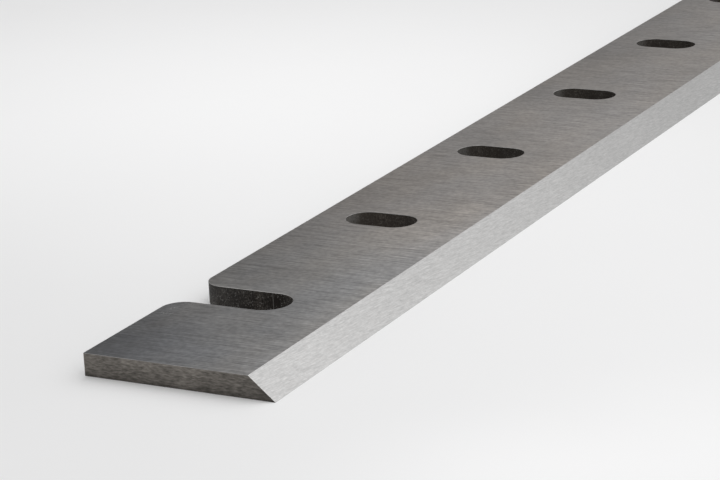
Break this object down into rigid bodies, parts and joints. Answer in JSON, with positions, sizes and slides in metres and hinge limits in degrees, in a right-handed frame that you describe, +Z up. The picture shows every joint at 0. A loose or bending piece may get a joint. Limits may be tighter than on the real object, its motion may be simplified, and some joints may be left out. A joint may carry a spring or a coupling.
{
  "type": "planer knife",
  "caption": "Long flat machine knife with a square back, a ground bevel along the other edge and rounded bolt slots across it: open through the back near each end, closed between.",
  "frame": {"origin": "middle of the rectangle that the underside fills, on the underside", "axes": "+X across the knife from the square back to the cutting edge, +Y along the knife, +Z up from the underside to the narrower clamp face"},
  "size_m": [0.089, 0.903, 0.01],
  "materials": {
    "ground_steel": "surface ground, with fine lines across the knife"
  },
  "bodies": {
    "root": {"planer_knife": "ground_steel"}
  },
  "joints": []
}
